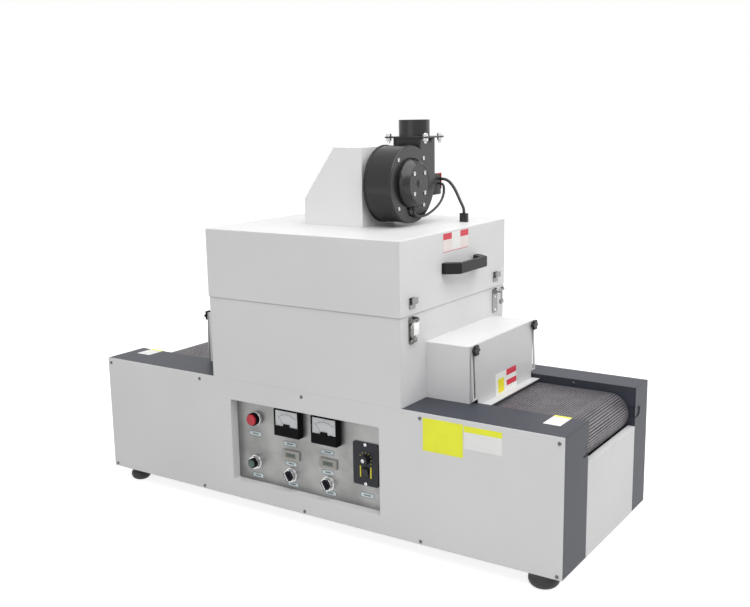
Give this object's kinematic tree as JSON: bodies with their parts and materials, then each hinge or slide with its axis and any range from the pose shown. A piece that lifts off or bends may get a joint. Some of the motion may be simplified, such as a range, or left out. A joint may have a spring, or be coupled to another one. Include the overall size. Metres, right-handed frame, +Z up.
{
  "type": "uv curing tunnel",
  "caption": "Bench-top UV curing tunnel: a belt runs through a lamp chamber with shielded hoods, under a lift-off lid that carries an exhaust blower; controls sit in a front recess.",
  "frame": {"origin": "on the floor under the middle of the machine", "axes": "+X along the belt towards the exit, +Y from the control side to the back, +Z up"},
  "size_m": [1.1, 0.4235, 0.8043],
  "materials": {
    "panel_grey": "light grey powder coat",
    "duct_white": "white powder coat",
    "frame_grey": "dark blue grey paint",
    "pan_steel": "plain painted sheet",
    "stainless": "brushed",
    "belt_mesh": "coated open mesh",
    "drum_steel": "turned",
    "bearing_black": "dark",
    "foot_rubber": "matt",
    "latch_nickel": "nickel plated",
    "knob_black": "moulded",
    "handle_black": "moulded",
    "blower_black": "satin black",
    "terminal_black": "moulded",
    "lead_black": "sheathed",
    "lamp_quartz": "clear quartz",
    "reflector_aluminium": "polished",
    "lens_red": "clear red",
    "bezel_chrome": "polished",
    "button_green": "moulded",
    "meter_black": "moulded with a clear window",
    "counter_beige": "moulded",
    "control_black": "moulded"
  },
  "bodies": {
    "base": {"front_panel": "panel_grey", "control_plate": "stainless", "back_panel": "panel_grey", "bottom_pan": "pan_steel", "front_rail": "frame_grey", "back_rail": "frame_grey", "end_panels": "panel_grey", "feet": "foot_rubber", "belt": "belt_mesh", "shaft_blocks": "bearing_black", "chamber": "panel_grey", "hood_exit": "panel_grey", "hood_entry": "panel_grey", "latch_plates": "latch_nickel", "pilot_lamp": "lens_red", "control_bezels": "bezel_chrome", "panel_meters": "meter_black", "hour_counters": "counter_beige", "speed_plate": "control_black"},
    "lid": {"lid": "panel_grey", "lid_handles": "handle_black", "lid_keepers": "latch_nickel", "duct_box": "duct_white", "blower_housing": "blower_black", "motor_cover": "blower_black", "outlet_collar": "blower_black", "terminal_box": "terminal_black", "motor_lead": "lead_black", "supply_lead": "lead_black", "lead_plug": "terminal_black", "lamp_reflectors": "reflector_aluminium", "uv_lamps": "lamp_quartz"},
    "drum_exit": {"drum_exit": "drum_steel"},
    "shield_exit": {"shield_exit": "panel_grey"},
    "star_knob_exit_front": {"star_knob_exit_front": "knob_black"},
    "star_knob_exit_back": {"star_knob_exit_back": "knob_black"},
    "drum_entry": {"drum_entry": "drum_steel"},
    "shield_entry": {"shield_entry": "panel_grey"},
    "star_knob_entry_front": {"star_knob_entry_front": "knob_black"},
    "star_knob_entry_back": {"star_knob_entry_back": "knob_black"},
    "latch_lever_exit_front": {"latch_lever_exit_front": "latch_nickel"},
    "latch_bar_exit_front": {"latch_bar_exit_front": "latch_nickel"},
    "latch_lever_exit_back": {"latch_lever_exit_back": "latch_nickel"},
    "latch_bar_exit_back": {"latch_bar_exit_back": "latch_nickel"},
    "latch_lever_entry_front": {"latch_lever_entry_front": "latch_nickel"},
    "latch_bar_entry_front": {"latch_bar_entry_front": "latch_nickel"},
    "latch_lever_entry_back": {"latch_lever_entry_back": "latch_nickel"},
    "latch_bar_entry_back": {"latch_bar_entry_back": "latch_nickel"},
    "push_button": {"push_button": "button_green"},
    "selector_left": {"selector_left": "control_black"},
    "selector_right": {"selector_right": "control_black"},
    "speed_knob": {"speed_knob": "control_black"},
    "rocker_switch": {"rocker_switch": "control_black"}
  },
  "joints": [
    {"name": "lid_lift", "type": "slide", "parent": "base", "child": "lid", "axis": [0, 0, 1], "range_m": [0, 0.2]},
    {"name": "drum_exit_turn", "type": "hinge", "parent": "base", "child": "drum_exit", "pos_m": [0.5, 0.018, 0.2318], "axis": [0, 1, 0], "continuous": true},
    {"name": "shield_exit_slide", "type": "slide", "parent": "base", "child": "shield_exit", "axis": [-0.0436, 0, 0.999], "range_m": [0, 0.09]},
    {"name": "star_knob_exit_front_turn", "type": "hinge", "parent": "base", "child": "star_knob_exit_front", "pos_m": [0.32713, -0.11, 0.3875], "axis": [1, 0, 0], "continuous": true},
    {"name": "star_knob_exit_back_turn", "type": "hinge", "parent": "base", "child": "star_knob_exit_back", "pos_m": [0.32713, 0.146, 0.3875], "axis": [1, 0, 0], "continuous": true},
    {"name": "drum_entry_turn", "type": "hinge", "parent": "base", "child": "drum_entry", "pos_m": [-0.5, 0.018, 0.2318], "axis": [0, 1, 0], "continuous": true},
    {"name": "shield_entry_slide", "type": "slide", "parent": "base", "child": "shield_entry", "axis": [0.0436, 0, 0.999], "range_m": [0, 0.09]},
    {"name": "star_knob_entry_front_turn", "type": "hinge", "parent": "base", "child": "star_knob_entry_front", "pos_m": [-0.32713, -0.11, 0.3875], "axis": [-1, 0, 0], "continuous": true},
    {"name": "star_knob_entry_back_turn", "type": "hinge", "parent": "base", "child": "star_knob_entry_back", "pos_m": [-0.32713, 0.146, 0.3875], "axis": [-1, 0, 0], "continuous": true},
    {"name": "latch_lever_exit_front_turn", "type": "hinge", "parent": "base", "child": "latch_lever_exit_front", "pos_m": [0.237, -0.171, 0.446], "axis": [0, -1, 0], "range_deg": [0, 150]},
    {"name": "latch_bar_exit_front_hang", "type": "hinge", "parent": "latch_lever_exit_front", "child": "latch_bar_exit_front", "pos_m": [0.237, -0.171, 0.435], "axis": [0, -1, 0], "range_deg": [-150, 0]},
    {"name": "latch_lever_exit_back_turn", "type": "hinge", "parent": "base", "child": "latch_lever_exit_back", "pos_m": [0.237, 0.165, 0.446], "axis": [0, -1, 0], "range_deg": [-120, 30]},
    {"name": "latch_bar_exit_back_hang", "type": "hinge", "parent": "latch_lever_exit_back", "child": "latch_bar_exit_back", "pos_m": [0.24653, 0.165, 0.4515], "axis": [0, -1, 0], "range_deg": [-30, 120]},
    {"name": "latch_lever_entry_front_turn", "type": "hinge", "parent": "base", "child": "latch_lever_entry_front", "pos_m": [-0.237, -0.171, 0.446], "axis": [0, 1, 0], "range_deg": [-75, 75]},
    {"name": "latch_bar_entry_front_hang", "type": "hinge", "parent": "latch_lever_entry_front", "child": "latch_bar_entry_front", "pos_m": [-0.24763, -0.171, 0.44315], "axis": [0, 1, 0], "range_deg": [-75, 75]},
    {"name": "latch_lever_entry_back_turn", "type": "hinge", "parent": "base", "child": "latch_lever_entry_back", "pos_m": [-0.237, 0.165, 0.446], "axis": [0, 1, 0], "range_deg": [0, 150]},
    {"name": "latch_bar_entry_back_hang", "type": "hinge", "parent": "latch_lever_entry_back", "child": "latch_bar_entry_back", "pos_m": [-0.237, 0.165, 0.435], "axis": [0, 1, 0], "range_deg": [-150, 0]},
    {"name": "push_button_press", "type": "slide", "parent": "base", "child": "push_button", "axis": [0, 1, 0], "range_m": [0, 0.003], "stiffness_N_per_m": 400},
    {"name": "selector_left_turn", "type": "hinge", "parent": "base", "child": "selector_left", "pos_m": [-0.045, -0.2, 0.1], "axis": [0, 1, 0], "range_deg": [0, 60]},
    {"name": "selector_right_turn", "type": "hinge", "parent": "base", "child": "selector_right", "pos_m": [0.048, -0.2, 0.1], "axis": [0, 1, 0], "range_deg": [0, 60]},
    {"name": "speed_knob_turn", "type": "hinge", "parent": "base", "child": "speed_knob", "pos_m": [0.138, -0.2, 0.1665], "axis": [0, 1, 0], "range_deg": [-75, 195]},
    {"name": "rocker_switch_rock", "type": "hinge", "parent": "base", "child": "rocker_switch", "pos_m": [0.138, -0.194, 0.14], "axis": [-1, 0, 0], "range_deg": [0, 16]}
  ],
  "couplings": [
    {"joint": "latch_bar_exit_front_hang", "follows": "latch_lever_exit_front_turn", "ratio": -1},
    {"joint": "latch_bar_exit_back_hang", "follows": "latch_lever_exit_back_turn", "ratio": -1},
    {"joint": "latch_bar_entry_front_hang", "follows": "latch_lever_entry_front_turn", "ratio": -1},
    {"joint": "latch_bar_entry_back_hang", "follows": "latch_lever_entry_back_turn", "ratio": -1}
  ]
}
